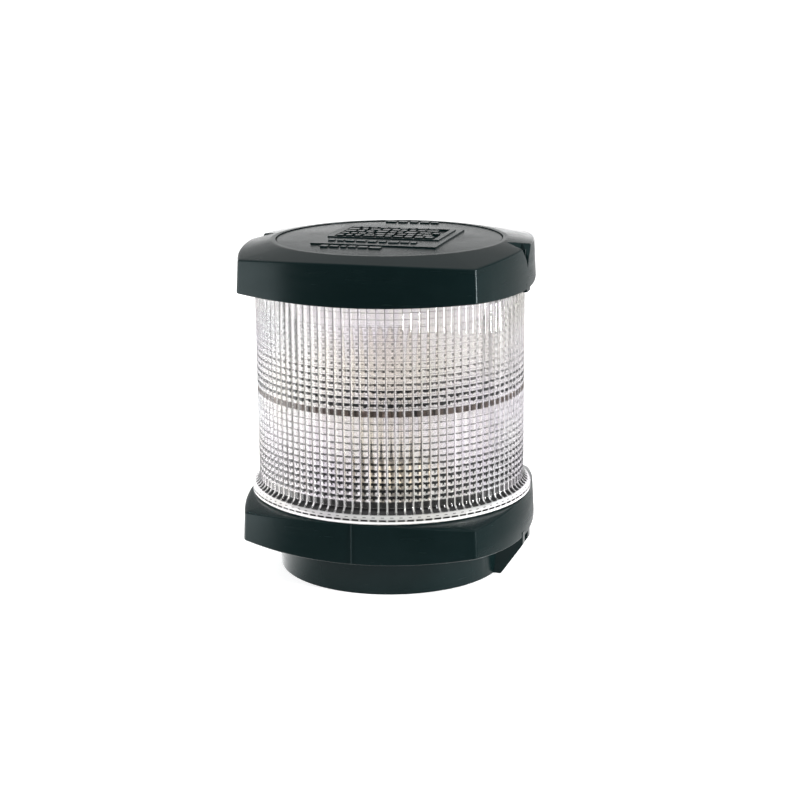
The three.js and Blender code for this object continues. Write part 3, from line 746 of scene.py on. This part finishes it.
def build_cap():
    top_edge = CAP.z1 - EDGE_DROP
    plate_r = SIDE_R - EDGE_DROP / EDGE_SLOPE
    levels = [
        (SIDE_R - 1.4, RIM_Z, SIDE_R - 1.4, RIM_RISE),
        (SIDE_R + DRAFT, RIM_Z, CORNER_R + DRAFT, RIM_RISE),
        (SIDE_R, top_edge, CORNER_R, -EDGE_SLOPE),
        (plate_r, CAP.z1, plate_r, 0),
        (GROOVE_R - 1, CAP.z1, GROOVE_R - 1, 0),
    ]
    cap = lofted(rounded(levels, 0.45))
    under = SIDE_R - 1.4, CORNER_R - 1.6
    hollow = lofted([
        (under[0], RIM_Z - 10, under[1], 0), (under[0], top_edge - CAP_WALL, under[1], -EDGE_SLOPE),
        (GROOVE_R + 1.4, CAP.z1 - 4.2, GROOVE_R + 1.4, 0),
    ])
    cut(cap, hollow)
    lug = block(42.6, 44.3, NOTCH_Y - 2.4, NOTCH_Y + 2.4, CAP.z0 + 0.7, 92)
    spigot = ring(SPIGOT_BORE_R, LENS_BORE_R - 0.5, 91.4, ROOF_Z, 0.3)
    seat = ring(SPIGOT_BORE_R, LENS_R + 1, SEAL_SEAT_Z, ROOF_Z + 0.4, 0.3)
    bosses = pair(3, SHIELD.z1 + 0.3, ROOF_Z, SHIELD_SCREW_X, 0.2)
    join(cap, seat, spigot, *bosses, lug, half_turned(lug))
    pilots = pair(1.4, 90, 98.5, SHIELD_SCREW_X)
    wide = notch_cutter(inner_x=37.5, low_z=97.9, half_width=6.2)
    sideways = Matrix(((0, 0, 1), (1, 0, 0), (0, 1, 0))).to_4x4()
    pocket = prism([(NOTCH_Y - 4.1, 104), (NOTCH_Y, 96.4), (NOTCH_Y + 4.1, 104)], NOTCH_FLOOR_X, 46, sideways)
    blade = block(NOTCH_FLOOR_X - 0.3, SIDE_R - 0.5, NOTCH_Y - 0.3, NOTCH_Y + 0.3, 98.6, 102.2)
    recess = rod(GROOVE_R, CAP.z1 - 1.6, CAP.z1 + 1, count=ROUND)
    cut(cap, recess, *pilots, wide, half_turned(wide), pocket, half_turned(pocket))
    join(cap, blade, half_turned(blade))
    softened(cap, 0.18)
    finished(cap, "cap_hood", "cap", "housing_plastic", "top_cap")


PLATE_R = 34.9
PLATE_FALL = 0.34  # the plate is a shallow dome, this much lower at its edge


def build_top_plate():
    """The round plate, with a stepped panel and plain raised bars where a maker's marking would be."""
    top = CAP.z1
    crown = [(PLATE_R * step / 8, top + 0.1 - PLATE_FALL * (step / 8) ** 2) for step in range(8, -1, -1)]
    side = rounded([(PLATE_R - 0.2, top - 1.3), (PLATE_R, top - 1.1), *crown], 0.1)
    disc = turned([(0, top - 1.3), *side])
    step = block(-19.6, 19.6, -18.4, 17.6, top - 0.5, top + 0.35)
    raised = block(-18, 17.4, -6.4, 15, top, top + 0.65)
    draw = random.Random(7)
    bars = []
    rows = [(-21.8, -15, 6, 0.3), (-12.4, -15.5, 13.5, 0.65), (31.4, -10, 9, 0.2)]
    rows += [(-3.6 + 4.1 * row, -15.5, 15, 0.9) for row in range(5)]
    for y, start, end, height in rows:
        x = start
        while x < end - 2:
            length = min(draw.uniform(1.5, 3.6), end - x)
            middle = y + draw.uniform(-0.3, 0.3)
            half = draw.uniform(1.9, 2.7) / 2
            bars.append(block(x, x + length, middle - half, middle + half, top - 0.6, top + height))
            x += length + draw.uniform(0.6, 1.1)
    join(disc, step, raised)
    cut(disc, block(-16.3, 15.8, -5.6, 14.5, top + 0.15, top + 2))
    join(disc, *bars)
    softened(disc, 0.1)
    finished(disc, "cap_disc", "cap", "housing_plastic", "cap_top_plate")


def fine_screw(place, shank, length, head, rise, upside_down):
    """A slotted pan-head screw with thread ridges, and the underside of its head at its place."""
    pitch = 0.55
    profile = [(0, -length), (shank * 0.35, -length), (shank * 0.85, -length + shank)]
    height = -length + shank
    while height < -0.9 - pitch:
        profile += [(shank * 0.82, height), (shank, height + pitch / 2)]
        height += pitch
    profile += [(shank * 0.82, -0.8), (shank, -0.3), (shank, 0)]
    crown = [(shank, 0), (head, 0), (head, rise * 0.5), (head * 0.62, rise * 0.96), (0, rise)]
    screw = turned(profile + rounded(crown, 0.28)[1:], 40)
    cut(screw, block(-head * 1.2, head * 1.2, -head * 0.13, head * 0.13, rise * 0.5, rise * 2))
    softened(screw, 0.06, 50)
    flip = Matrix.Rotation(math.pi if upside_down else 0, 4, "X")
    return placed(screw, Matrix.Translation(place) @ flip)


def screw_pairs(body, *screws, upside_down=False):
    """Each of the screws on both sides. Its sizes: shank radius, length, head radius, head height."""
    for side, name in SIDES:
        for kind, x, y, seat, sizes in screws:
            screw = fine_screw((side * x, y, seat), *sizes, upside_down)
            finished(screw, f"{kind}_fastener_{name}", body, "steel", f"{kind}_screw_{name}")


def build_under_cap():
    seal = ring(38.9, 41.7, LENS.z1 + 0.3, SEAL_SEAT_Z - 0.3, 0.7)
    finished(seal, "cap_seal_ring", "cap", "rubber", "cap_seal")
    sheet = ring(32.6, SHIELD.radius, SHIELD.z0, SHIELD.z1, 0.3)
    middle = rod(33, SHIELD.z0 + 0.15, SHIELD.z1 - 0.05, count=ROUND)
    join(middle, sheet)
    cut(middle, *pair(1.4, 90, 95, SHIELD_SCREW_X))
    finished(middle, "heat_shield_sheet", "cap", "aluminium", "heat_shield")
    shield_screw = "shield", SHIELD_SCREW_X, 0, SHIELD.z0 - 0.3, (1.1, 5, 2.6, 1.5)
    screw_pairs("cap", shield_screw, upside_down=True)


# -------- base

TOP_Z = 24.7
FLANGE_Z = 12.2
FLANGE_RISE = 0.3
FOOT_R = 35.64
SKIRT_TOP_R = 36.8
FLOOR_LOW, FLOOR_HIGH = 2.4, 5.0
LEDGE_Z = 19.8
DECK_SCREW_X, HOLDER_SCREW_X = 27.0, 12.7
FIXING_R = 26  # from the axis to the holes for the two screws that hold the light
INLET_Y = -21.0
ENTRY_Y, ENTRY_HALF = -1.4, 1.6
HOLDER_SEAT_Z = 8.2
TERMINAL_X, TERMINAL_Y, TERMINAL_SEAT_Z = 4.5, 20.5, 13.6
FIN_THICKNESS, FIN_GAP = 2.8, 4.6
RIDGE = 0.28  # height and half width of the upright line on the front


def fins():
    outline = rounded([(33.5, 0), (37.3, 0), (44.3, 10), (44.3, 14), (33.5, 14)], 0.3, closed=True)
    upright = Matrix.Rotation(math.pi / 2, 4, "X")
    made = []
    for low in (ENTRY_Y - FIN_GAP / 2 - FIN_THICKNESS, ENTRY_Y + FIN_GAP / 2):
        made.append(prism(outline, -low - FIN_THICKNESS, -low, upright))
    return made


def build_base():
    levels = [
        (SKIRT_TOP_R - 1, FLANGE_Z, SKIRT_TOP_R - 1, 0),
        (SKIRT_TOP_R + 4, FLANGE_Z, SKIRT_TOP_R + 4, 0),
        (SIDE_R + DRAFT, FLANGE_Z, CORNER_R + DRAFT, FLANGE_RISE),
        (SIDE_R, TOP_Z, CORNER_R, -EDGE_SLOPE),
        (SIDE_R - 1.4, TOP_Z, SIDE_R - 1.4, 0),
        (SPIGOT_R, TOP_Z, SPIGOT_R, 0),
    ]
    base = lofted(rounded(levels, 0.45))
    skirt = [(0, 0), (FOOT_R, 0), (SKIRT_TOP_R, FLANGE_Z + 1), (0, FLANGE_Z + 1)]
    line = prism(
        [(-RIDGE, -SIDE_R - DRAFT), (0, -SIDE_R - DRAFT - RIDGE), (RIDGE, -SIDE_R - DRAFT), (0, -SIDE_R + 1)],
        FLANGE_Z + 0.3, TOP_Z - 0.2,
    )
    for vertex in line.data.vertices:
        if vertex.co.y < -SIDE_R:
            vertex.co.y += DRAFT * (vertex.co.z - FLANGE_Z) / (TOP_Z - FLANGE_Z)
    join(base, turned(rounded(skirt, 0.35)), *fins(), line)

    groove_r = SPIGOT_R + 0.3
    chamber = [
        (0, FLOOR_HIGH), (33, FLOOR_HIGH), (33, 14.9), (38.2, 14.9), (38.2, LEDGE_Z), (groove_r, LEDGE_Z),
        (groove_r, TOP_Z - 0.35), (groove_r + 0.35, TOP_Z), (groove_r + 0.35, TOP_Z + 1), (0, TOP_Z + 1),
    ]
    inside = SIDE_R - 2.5, CORNER_R - 2.6
    pockets = lofted([(inside[0], FLANGE_Z - 3, inside[1], 0), (inside[0], TOP_Z - 3.6, inside[1], 0)])
    cut(pockets, rod(SPIGOT_R + 2.8, 0, TOP_Z, count=ROUND))
    cut(base, turned(chamber), rod(32.6, -1, FLOOR_LOW, count=ROUND), pockets)

    boss_top = DECK.z0 - 0.3
    join(base, *pair(3.2, FLOOR_HIGH - 1, boss_top, DECK_SCREW_X, 0.2))
    diagonal = FIXING_R * math.sqrt(0.5)
    holes = [rod(6, 0, FLOOR_HIGH + 1, (0, INLET_Y), count=48)]
    for side in (-1, 1):
        holes.append(rod(1.6, boss_top - 8, boss_top + 1, (side * DECK_SCREW_X, 0)))
        holes.append(rod(1.4, 3.2, FLOOR_HIGH + 1, (side * HOLDER_SCREW_X, 0)))
        holes.append(rod(2.3, 0, FLOOR_HIGH + 1, (side * diagonal, side * diagonal)))
    holes.append(block(30, 40, ENTRY_Y - ENTRY_HALF, ENTRY_Y + ENTRY_HALF, 6.2, 10.6))
    cut(base, *holes)
    softened(base, 0.18)
    finished(base, "base_body", "base", "housing_plastic", "base_housing")


def build_deck():
    profile = [
        (9.6, DECK.z0), (DECK.radius, DECK.z0), (DECK.radius, DECK.z1 - 0.1), (34.6, DECK.z1 - 0.1),
        (34.3, DECK.z1 - 0.4), (33.6, DECK.z1 - 0.4), (33.3, DECK.z1 - 0.1),
        (14.3, DECK.z1 - 0.1), (14, DECK.z1 - 0.4), (13.3, DECK.z1 - 0.4), (13, DECK.z1 - 0.1),
        (11.6, DECK.z1 - 0.1), (11.6, DECK.z1 + 1.4), (9.6, DECK.z1 + 1.4),
    ]
    deck = turned(rounded(profile, 0.2, closed=True, steps=2))
    cut(deck, *pair(1.6, 10, 30, DECK_SCREW_X))
    softened(deck, 0.12, 50)
    finished(deck, "deck_cover", "base", "inner_plastic", "deck_plate")
    screw_pairs(
        "base",
        ("deck", DECK_SCREW_X, 0, DECK.z1 + 0.3, (1.3, 8, 2.7, 1.7)),
        ("holder", HOLDER_SCREW_X, 0, HOLDER_SEAT_Z, (1.1, 3.9, 2.1, 1.4)),
        ("terminal", TERMINAL_X, TERMINAL_Y, TERMINAL_SEAT_Z, (1.15, 3.2, 1.8, 1.2)),
    )


def build_seals():
    seal = ring(38.5, 40, LEDGE_Z + 0.3, LENS.z0 - 0.3, 0.6)
    finished(seal, "lens_seal_ring", "base", "rubber", "lens_seal")
    gasket = ring(29, 32.2, 0.3, FLOOR_LOW - 0.3, 0.5)
    finished(gasket, "foot_gasket", "base", "rubber", "base_gasket")
    profile = [
        (3.4, 1.1), (7.4, 1.1), (7.4, FLOOR_LOW - 0.3), (5.7, FLOOR_LOW - 0.3), (5.7, FLOOR_HIGH + 0.3),
        (7.4, FLOOR_HIGH + 0.3), (6.6, 7.4), (3.4, 7.9),
    ]
    grommet = turned(rounded(profile, 0.3, closed=True), 48, (0, INLET_Y))
    finished(grommet, "inlet_grommet", "base", "rubber", "cable_grommet")


# -------- lamp holder

LOCKED = math.radians(60)  # where the upper pin rests
TWIST = math.radians(20)
PIN_Z, PIN_STEP, PUSH = 26.5, 3.0, 2.2  # the other pin is a step lower
PIN_R = 1.0
SHELL_INNER, SHELL_OUTER = 7.9, 8.7
SPRING_FOOT = 9.85
SPRING_WIRE_R = 0.35
CARRIER_LOW, CARRIER_HIGH = 16.6, 18.2
CONTACT_X = 3.9


def sector(start, end, low, high):
    """A cutter through the shell wall, from one angle to another."""
    steps = 6
    angles = [start + (end - start) * step / steps for step in range(steps + 1)]
    inner = [polar(SHELL_INNER - 1, angle).xy for angle in angles]
    outer = [polar(SHELL_OUTER + 1.5, angle).xy for angle in reversed(angles)]
    return prism(inner + outer, low, high)


def bayonet_slot(centre, pin_z):
    spread = (PIN_R + 0.3) / SHELL_INNER
    low, high = pin_z - PUSH - PIN_R - 0.3, pin_z + PIN_R + 0.3
    across = sector(centre - spread, centre + TWIST + spread, low, high)
    mouth = sector(centre + TWIST - spread, centre + TWIST + spread, low, SHELL.z1 + 1)
    return join(across, mouth)


def build_holder():
    low, high = SHELL.z0, SHELL.z1
    profile = [
        (SHELL_INNER, low), (SHELL_OUTER, low), (SHELL_OUTER, high - 0.9), (SHELL_OUTER + 0.5, high - 0.45),
        (SHELL_OUTER + 0.5, high), (SHELL_INNER, high),
    ]
    tube_wall = turned(rounded(profile, 0.2, closed=True), 96)
    cut(tube_wall, bayonet_slot(LOCKED, PIN_Z), bayonet_slot(LOCKED + math.pi, PIN_Z - PIN_STEP))
    softened(tube_wall, 0.08, 50)
    finished(tube_wall, "socket_tube", "base", "nickel", "socket_shell")

    line = helix(1.55, SPRING_FOOT + SPRING_WIRE_R, CARRIER_LOW - 0.5, 6.5)
    coil = tube(line, SPRING_WIRE_R, 10)
    finished(coil, "contact_coil", "base", "steel", "contact_spring")
    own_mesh(coil)
    disc = rod(7.4, CARRIER_LOW, CARRIER_HIGH, edge=0.25, count=64)
    cut(disc, *pair(1.5, 10, 20, CONTACT_X))
    finished(disc, "carrier_disc", "carrier", "phenolic", "contact_carrier")
    for side, name in SIDES:
        outline = [(0, 15.4), (1.2, 15.4), (1.2, 18.5), (2.1, 18.5), (2.1, 19.2), (0, 19.2)]
        stud = turned(rounded(outline, 0.25), 32, (side * CONTACT_X, 0))
        finished(stud, f"contact_rivet_{name}", "carrier", "brass", f"contact_stud_{name}")
        x = side * TERMINAL_X
        points = ((x * 0.6, 9.1, 6.9), (x * 0.75, 11.3, 7.3), (x, 13.7, 8.9), (x, 16.7, 9.2))
        route = [Vector(point) for point in points]
        slot = "black_insulation" if side < 0 else "red_insulation"
        finished(tube(smooth_line(route, 8), 0.85, 16), f"wire_{name}", "base", slot, f"lead_{name}")


def smooth_line(points, steps):
    """A Catmull-Rom line through the points."""
    line = []
    for index in range(len(points) - 1):
        before = points[max(index - 1, 0)]
        start, end = points[index], points[index + 1]
        after = points[min(index + 2, len(points) - 1)]
        for step in range(steps):
            t = step / steps
            line.append(0.5 * (
                2 * start + (end - before) * t + (2 * before - 5 * start + 4 * end - after) * t**2
                + (3 * start - before - 3 * end + after) * t**3
            ))
    return [*line, points[-1].copy()]


# -------- bulb

BULB_BASE_R = 7.5
BULB_BASE_TOP = 39.2
NECK_R = 6.7
GLOBE_R = GLASS.radius
GLASS_WALL = 0.7
PIN_TIP = 8.75


def build_bulb_base():
    top = BULB_BASE_TOP
    cup = turned(rounded([
        (BULB_BASE_R - 0.45, 20.7), (BULB_BASE_R, 20.7), (BULB_BASE_R, 32), (BULB_BASE_R - 0.15, 32.5),
        (BULB_BASE_R, 33), (BULB_BASE_R, top - 0.6), (BULB_BASE_R + 0.3, top - 0.35),
        (BULB_BASE_R + 0.3, top), (BULB_BASE_R - 0.45, top),
    ], 0.15, closed=True), 96)
    length = PIN_TIP - BULB_BASE_R + 0.3
    pins = []
    for angle, height in ((LOCKED, PIN_Z), (LOCKED + math.pi, PIN_Z - PIN_STEP)):
        lay = Matrix.Translation((PIN_TIP - length, 0, height)) @ Matrix.Rotation(math.pi / 2, 4, "Y")
        pins.append(placed(rod(PIN_R, 0, length, edge=0.2), Matrix.Rotation(angle, 4, "Z") @ lay))
    join(cup, *pins)
    softened(cup, 0.08, 50)
    finished(cup, "bulb_cap", "bulb", "brass", "bulb_base")


def build_bulb_glass():
    centre = GLASS.z1 - GLOBE_R

    def outline(radius, neck):
        reach, steps = math.radians(-52), 24
        points = [(neck, 35), (neck, 41), (neck + 0.15, 44), (neck + 0.6, 46.5)]
        for step in range(steps + 1):
            angle = reach + (math.pi / 2 - reach) * step / steps
            points.append((radius * math.cos(angle), centre + radius * math.sin(angle)))
        return points

    outside = outline(GLOBE_R, NECK_R)
    inside = outline(GLOBE_R - GLASS_WALL, NECK_R - GLASS_WALL)
    envelope = turned(inside[::-1] + outside, 96)
    finished(envelope, "bulb_envelope", "bulb", "bulb_glass", "bulb_glass")
    profile = [(0, 36), (4.6, 36), (4.4, 38), (2, 43), (1.7, 49), (1, 50), (0, 50)]
    stem = turned(rounded(profile, 0.9), 48)
    finished(stem, "bulb_pinch", "bulb", "bulb_glass", "bulb_stem")


def build_filament():
    height = BELT_Z + 0.3
    for side, name in SIDES:
        points = ((2.2, 46.5), (3, 50), (4.6, 54), (5, 56.6), (5.1, 57.7))
        wire = tube(smooth_line([Vector((side * x, 0, z)) for x, z in points], 6), 0.24)
        finished(wire, f"support_wire_{name}", "bulb", "nickel", f"filament_wire_{name}")
    turns, radius, half = 26, 0.36, 5.5
    steps = turns * 10
    points = []
    for step in range(steps + 1):
        share = step / steps
        angle = 2 * math.pi * turns * share
        x, y, z = half * (2 * share - 1), radius * math.cos(angle), radius * math.sin(angle)
        points.append(Vector((x, y, height + z)))
    finished(tube(points, 0.08, 6), "filament_coil", "bulb", "steel", "filament")


def build_bulb_contacts():
    insulator = rod(6.7, 20.4, 22.4, edge=0.25, count=64)
    cut(insulator, *pair(2.1, 19.5, 23, CONTACT_X))
    finished(insulator, "contact_insulator", "bulb", "black_insulation", "bulb_insulator")
    for side, name in SIDES:
        outline = rounded([(0, 19.5), (1, 19.5), (1.7, 20.4), (1.7, 22), (0, 22)], 0.5)
        pad = turned(outline, 32, (side * CONTACT_X, 0))
        finished(pad, f"solder_pad_{name}", "bulb", "steel", f"bulb_contact_{name}")


def carry_over():
    """CAD nodes whose shape is right already."""
    carried("terminal_block", "terminal_plastic", 0.3)
    carried("side_entry_plug", "rubber", 0.3)
    carried("holder_body", "phenolic", 0.3)
    for name in ("left", "right"):
        carried(f"terminal_clamp_{name}", "brass", 0.2)


# -------- surroundings

BACK_LIGHT, BACK_RIGHT_LIGHT = 2.3, 0.9
FRONT_LIGHT, LEFT_LIGHT, RIGHT_LIGHT = 0.06, 0.5, 0.4
UPPER_LIGHT, TOP_LIGHT, BACKDROP, THROUGH_GLASS = 0.38, 1.2, 1.1, 0.76
FLOOR_GLOW, NEAR_GLOW, FAR_GLOW, LEFT_GLOW = 0.5, 0.7, 2.2, 4.2


def build_camera():
    """Stands where the picture was taken from, with its long lens and slight roll."""
    azimuth, elevation, roll = (math.radians(value) for value in (16.0, 13.874, -0.514))
    aim, distance = Vector((2.736, 0.784, 52.33)) * MM, 587.86 * MM
    right = Vector((math.cos(azimuth), math.sin(azimuth), 0))
    level = math.cos(elevation)
    ahead = Vector((-math.sin(azimuth) * level, math.cos(azimuth) * level, -math.sin(elevation)))
    up = right.cross(ahead)
    x_axis = math.cos(roll) * right + math.sin(roll) * up
    y_axis = math.cos(roll) * up - math.sin(roll) * right
    data = bpy.data.cameras.new("camera")
    data.sensor_width = 36
    data.lens = 83.6
    data.clip_start, data.clip_end = 0.01, 100
    camera = in_scene(bpy.data.objects.new("camera", data))
    turn = Matrix((x_axis, y_axis, -ahead)).transposed().to_4x4()
    camera.matrix_world = Matrix.Translation(aim - ahead * distance) @ turn
    bpy.context.scene.camera = camera


def area_light(name, place, aim, width, height, power, mirrored=False):
    """A plain lamp that is not seen through the lens, and only mirrored where asked for."""
    data = bpy.data.lights.new(name, "AREA")
    data.shape = "RECTANGLE"
    data.size, data.size_y = width, height
    data.energy = power
    light = in_scene(bpy.data.objects.new(name, data))
    light.location = place
    light.rotation_mode = "QUATERNION"
    light.rotation_quaternion = (Vector(aim) - Vector(place)).to_track_quat("-Z", "Y")
    light.visible_transmission = False
    light.visible_glossy = mirrored


def build_world():
    """A white tent, bright overhead and behind, dim in front, and even where it is seen directly."""
    world = bpy.data.worlds.new("tent")
    bpy.context.scene.world = world
    world.use_nodes = True
    nodes, links = world.node_tree.nodes, world.node_tree.links
    background = nodes["Background"]
    split = nodes.new("ShaderNodeSeparateXYZ")
    links.new(nodes.new("ShaderNodeTexCoord").outputs["Generated"], split.inputs["Vector"])
    span = functools.partial(map_range, nodes, links, smooth=True)
    sides = span(split.outputs["X"], -0.95, -0.4, LEFT_LIGHT, FRONT_LIGHT)
    sides = span(split.outputs["X"], 0.5, 0.95, sides, RIGHT_LIGHT)
    back = span(split.outputs["X"], -0.1, 0.5, BACK_LIGHT, BACK_RIGHT_LIGHT)
    horizon = span(split.outputs["Y"], 0.0, 0.7, sides, back)
    upper = span(split.outputs["Z"], 0.06, 0.18, horizon, UPPER_LIGHT)
    tent = span(split.outputs["Z"], 0.55, 0.85, upper, TOP_LIGHT)
    path = nodes.new("ShaderNodeLightPath")
    through = span(path.outputs["Is Transmission Ray"], 0, 1, tent, THROUGH_GLASS)
    links.new(span(path.outputs["Is Camera Ray"], 0, 1, through, BACKDROP), background.inputs["Strength"])
    background.inputs["Color"].default_value = (1, 1, 1, 1)


def build_floor():
    """A plain white floor. Mirrored, it is bright close by, behind and in two glows on the left, else dim."""
    mesh = bmesh.new()
    bmesh.ops.create_circle(mesh, cap_ends=True, segments=96, radius=30)
    floor = solid(mesh, "floor")
    shader = Shader("pale_floor").set(Roughness=0.6, Emission_Color=(1, 1, 1, 1), Specular_IOR_Level=0.1)
    path = shader.nodes.new("ShaderNodeLightPath")
    seen, through = path.outputs["Is Camera Ray"], path.outputs["Is Transmission Ray"]
    x, y = shader.axes()[:2]
    near = shader.span(shader.distance(x, y), 1.0, 0.0, 0.06, 0.09)
    behind = shader.span(y, 0.0, 1.0, 0.02, 0.2)
    mirrored = shader.blend(shader.most(near, behind), (0.2, 0.2, 0.2), (0.6, 0.6, 0.6))
    unseen = shader.blend(through, mirrored, (0.52, 0.52, 0.52))
    shader.link(shader.blend(seen, unseen, (0.9, 0.9, 0.9)), "Base Color")
    far_left = shader.product(shader.span(y, 0.0, 1.0, 0.35, 0.6), shader.span(x, 1.0, 0.0, -0.12, 0.02))
    front_left = shader.span(shader.math("SUBTRACT", x, y), 1.0, 0.0, -0.04, 0.02)
    front_left = shader.product(front_left, shader.span(y, 1.0, 0.0, -0.05, 0.05))
    far = shader.product(far_left, FAR_GLOW)
    glow = shader.most(shader.product(near, NEAR_GLOW), far, shader.product(front_left, LEFT_GLOW))
    neither = shader.product(shader.math("SUBTRACT", 1.0, seen), shader.math("SUBTRACT", 1.0, through))
    unseen_glow = shader.product(neither, glow)
    shader.link(shader.math("ADD", shader.product(seen, FLOOR_GLOW), unseen_glow), "Emission Strength")
    floor.data.materials.append(shader.material)


def build_surroundings():
    build_camera()
    build_world()
    build_floor()
    area_light("right_softbox", (0.75, 0.35, 0.3), (0, 0, 0.06), 0.5, 0.8, 2.2)
    area_light("left_softbox", (-0.66, -0.28, 0.25), (0, 0, 0.06), 0.3, 0.5, 7.0)
    area_light("edge_strip", (0.385, -0.11, 0.12), (0, 0, 0.06), 0.05, 0.24, 2.6, mirrored=True)
    bpy.context.scene.view_settings.view_transform = "Standard"


build_surroundings()
build_lens()
build_cap()
build_top_plate()
build_under_cap()
build_base()
build_deck()
build_seals()
build_holder()
build_bulb_base()
build_bulb_glass()
build_filament()
build_bulb_contacts()
carry_over()
